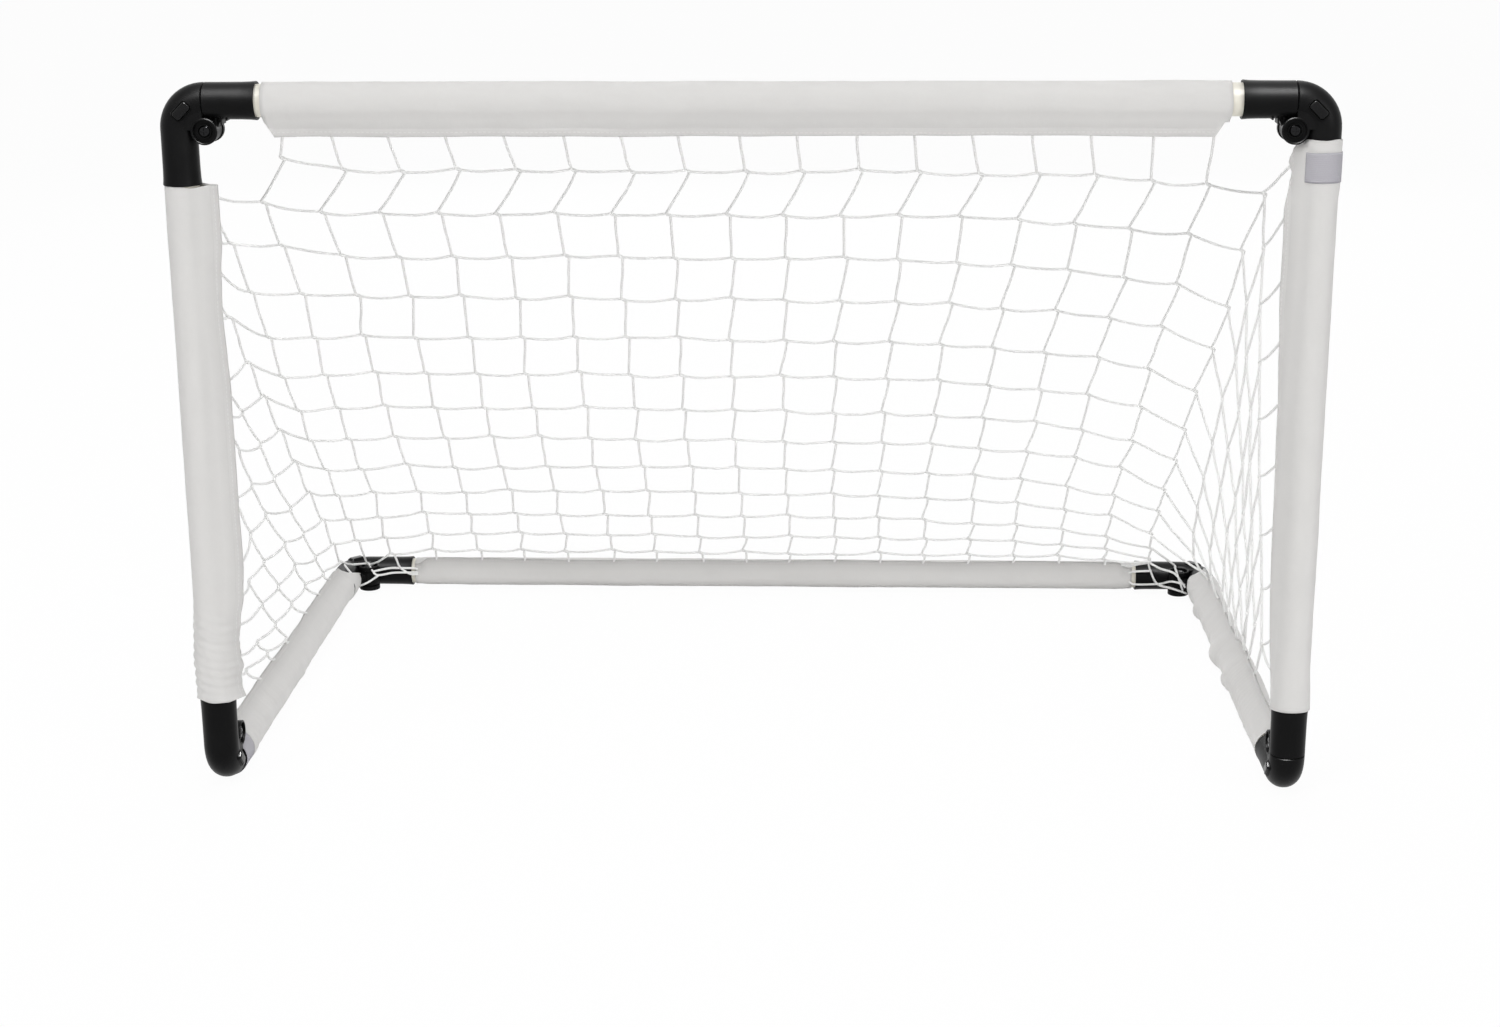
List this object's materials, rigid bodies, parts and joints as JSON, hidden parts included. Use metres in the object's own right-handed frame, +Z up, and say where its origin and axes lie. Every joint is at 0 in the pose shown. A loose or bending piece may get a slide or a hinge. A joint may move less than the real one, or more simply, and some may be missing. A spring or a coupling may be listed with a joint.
{
  "type": "folding goal",
  "caption": "Foldable goal of straight plastic tubes joined by hinged corner fittings, with sewn fabric sleeves and a corded net; the base folds up and the uprights fold in.",
  "frame": {"origin": "below the middle of the goal, on the surface that it stands on", "axes": "+X along the crossbar, to the right seen from in front; the mouth faces -Y; +Z up"},
  "size_m": [0.8928, 0.5714, 0.57],
  "materials": {
    "black_plastic": "satin moulded plastic with a fine grain",
    "button_plastic": "smooth moulded plastic, slightly glossier than the fitting",
    "ivory_plastic": "extruded tube, smooth, off-white",
    "steel": "black zinc-plated",
    "white_fabric": "thin plain-woven polyester, soft creases",
    "grey_band": "hook-and-loop tape with short nap",
    "net_cord": "knotted twine, off-white"
  },
  "bodies": {
    "crossbar": {"crossbar_tube": "ivory_plastic", "crossbar_sleeve": "white_fabric", "back_net": "net_cord", "top_left_socket": "black_plastic", "top_right_socket": "black_plastic"},
    "left_upright": {"left_upright_tube": "ivory_plastic", "left_upright_sleeve": "white_fabric", "left_net": "net_cord", "top_left_elbow": "black_plastic", "top_left_screw": "steel", "top_left_nut": "steel", "top_left_spring": "steel", "bottom_left_elbow": "black_plastic", "bottom_left_screw": "steel", "bottom_left_nut": "steel", "bottom_left_spring": "steel"},
    "right_upright": {"right_upright_tube": "ivory_plastic", "right_upright_sleeve": "white_fabric", "right_upright_band": "grey_band", "right_net": "net_cord", "top_right_elbow": "black_plastic", "top_right_screw": "steel", "top_right_nut": "steel", "top_right_spring": "steel", "bottom_right_socket": "black_plastic"},
    "left_side": {"left_side_tube": "ivory_plastic", "left_side_sleeve": "white_fabric", "left_side_band": "grey_band", "bottom_left_socket": "black_plastic", "rear_left_socket": "black_plastic"},
    "right_side": {"right_side_tube": "ivory_plastic", "right_side_sleeve": "white_fabric", "bottom_right_elbow": "black_plastic", "bottom_right_screw": "steel", "bottom_right_nut": "steel", "bottom_right_spring": "steel", "rear_right_socket": "black_plastic"},
    "rear_bar": {"rear_bar_tube": "ivory_plastic", "rear_bar_sleeve": "white_fabric", "rear_left_elbow": "black_plastic", "rear_left_screw": "steel", "rear_left_nut": "steel", "rear_left_spring": "steel", "rear_right_elbow": "black_plastic", "rear_right_screw": "steel", "rear_right_nut": "steel", "rear_right_spring": "steel"},
    "top_left_button": {"top_left_button": "button_plastic"},
    "top_right_button": {"top_right_button": "button_plastic"},
    "bottom_left_button": {"bottom_left_button": "button_plastic"},
    "bottom_right_button": {"bottom_right_button": "button_plastic"},
    "rear_left_button": {"rear_left_button": "button_plastic"},
    "rear_right_button": {"rear_right_button": "button_plastic"}
  },
  "joints": [
    {"name": "base_fold", "type": "hinge", "parent": "crossbar", "child": "rear_bar", "pos_m": [0, -0.2476, 0.03671], "axis": [1, 0, 0], "range_deg": [0, 90], "deforming": ["back_net", "rear_bar_sleeve"]},
    {"name": "left_fold", "type": "hinge", "parent": "crossbar", "child": "left_upright", "pos_m": [-0.40829, -0.2696, 0.53329], "axis": [0, -1, 0], "range_deg": [0, 90], "deforming": ["crossbar_sleeve", "left_upright_sleeve"]},
    {"name": "right_fold", "type": "hinge", "parent": "crossbar", "child": "right_upright", "pos_m": [0.40829, -0.2696, 0.53329], "axis": [0, 1, 0], "range_deg": [0, 83], "deforming": ["right_upright_sleeve", "right_upright_band"]},
    {"name": "left_base_fold", "type": "hinge", "parent": "left_upright", "child": "left_side", "pos_m": [-0.43029, -0.2476, 0.03671], "axis": [1, 0, 0], "range_deg": [0, 90], "deforming": ["left_net", "left_side_sleeve", "left_side_band"]},
    {"name": "right_base_fold", "type": "hinge", "parent": "right_upright", "child": "right_side", "pos_m": [0.43029, -0.2476, 0.03671], "axis": [1, 0, 0], "range_deg": [0, 90], "deforming": ["right_net", "right_side_sleeve"]},
    {"name": "top_left_button_press", "type": "slide", "parent": "left_upright", "child": "top_left_button", "axis": [0, 1, 0], "range_m": [0, 0.0025], "stiffness_N_per_m": 600, "springref_m": -0.003, "deforming": ["top_left_spring"]},
    {"name": "top_right_button_press", "type": "slide", "parent": "right_upright", "child": "top_right_button", "axis": [0, 1, 0], "range_m": [0, 0.0025], "stiffness_N_per_m": 600, "springref_m": -0.003, "deforming": ["top_right_spring"]},
    {"name": "bottom_left_button_press", "type": "slide", "parent": "left_upright", "child": "bottom_left_button", "axis": [-1, 0, 0], "range_m": [0, 0.0025], "stiffness_N_per_m": 600, "springref_m": -0.003, "deforming": ["bottom_left_spring"]},
    {"name": "bottom_right_button_press", "type": "slide", "parent": "right_side", "child": "bottom_right_button", "axis": [1, 0, 0], "range_m": [0, 0.0025], "stiffness_N_per_m": 600, "springref_m": -0.003, "deforming": ["bottom_right_spring"]},
    {"name": "rear_left_button_press", "type": "slide", "parent": "rear_bar", "child": "rear_left_button", "axis": [0, 0, -1], "range_m": [0, 0.0025], "stiffness_N_per_m": 600, "springref_m": -0.003, "deforming": ["rear_left_spring"]},
    {"name": "rear_right_button_press", "type": "slide", "parent": "rear_bar", "child": "rear_right_button", "axis": [0, 0, -1], "range_m": [0, 0.0025], "stiffness_N_per_m": 600, "springref_m": -0.003, "deforming": ["rear_right_spring"]}
  ],
  "couplings": [
    {"joint": "left_base_fold", "follows": "base_fold", "ratio": 1},
    {"joint": "right_base_fold", "follows": "base_fold", "ratio": 1}
  ]
}
